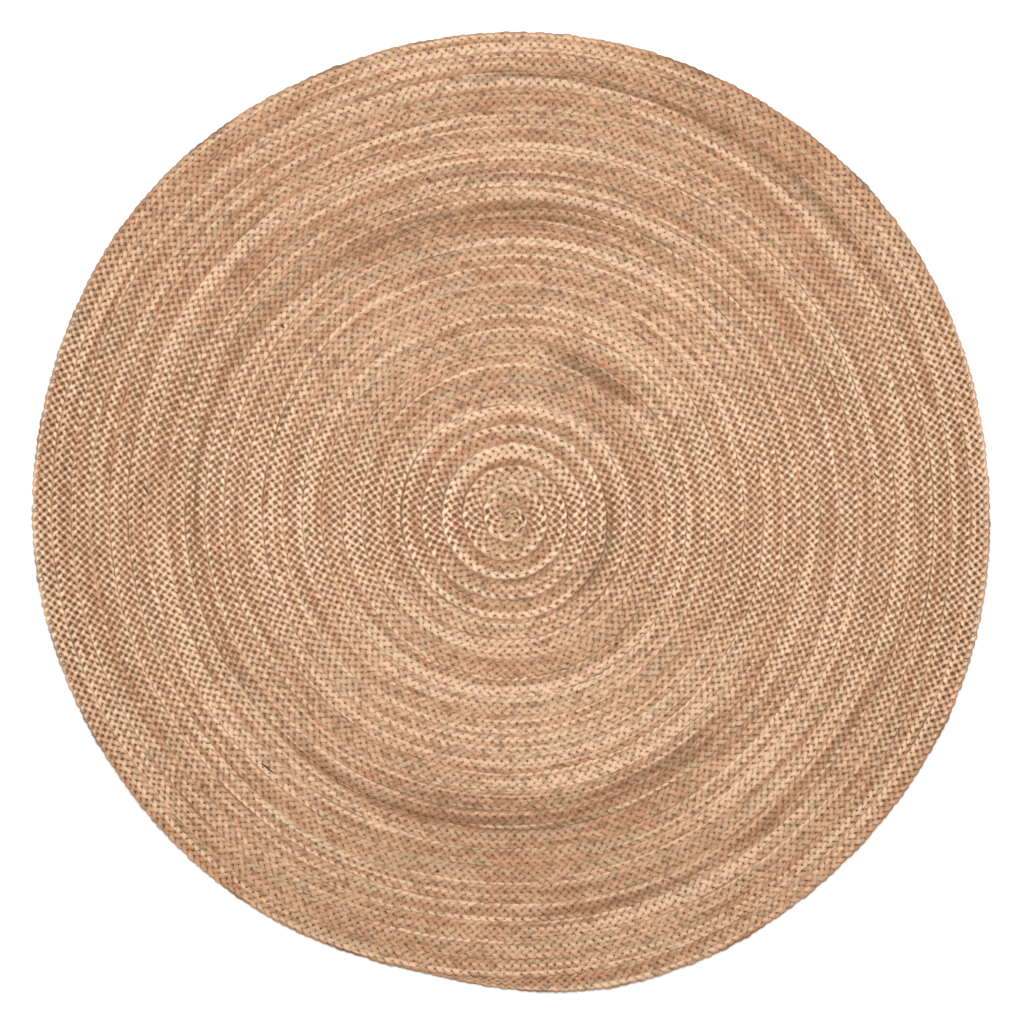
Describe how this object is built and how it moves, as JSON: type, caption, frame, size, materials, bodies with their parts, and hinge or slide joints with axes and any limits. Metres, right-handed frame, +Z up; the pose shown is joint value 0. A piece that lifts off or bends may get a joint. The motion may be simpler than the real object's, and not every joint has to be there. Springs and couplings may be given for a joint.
{
  "type": "round braided jute rug",
  "caption": "Flat round floor rug: a jute braid wound in a spiral from the middle out and sewn round to round, with a tucked end on the rim.",
  "frame": {"origin": "on the floor, under the middle of the rug's bounding box", "axes": "+Z up, out of the rug's face; +Y towards the top edge of the rug as seen from above; the braid's end is on the rim, a little left of -Y"},
  "size_m": [1.4922, 1.495, 0.01],
  "materials": {
    "jute": "dry, matte jute with straw, tan and brown strands and darker gaps between them"
  },
  "bodies": {
    "root": {"braided_rug": "jute"}
  },
  "joints": []
}
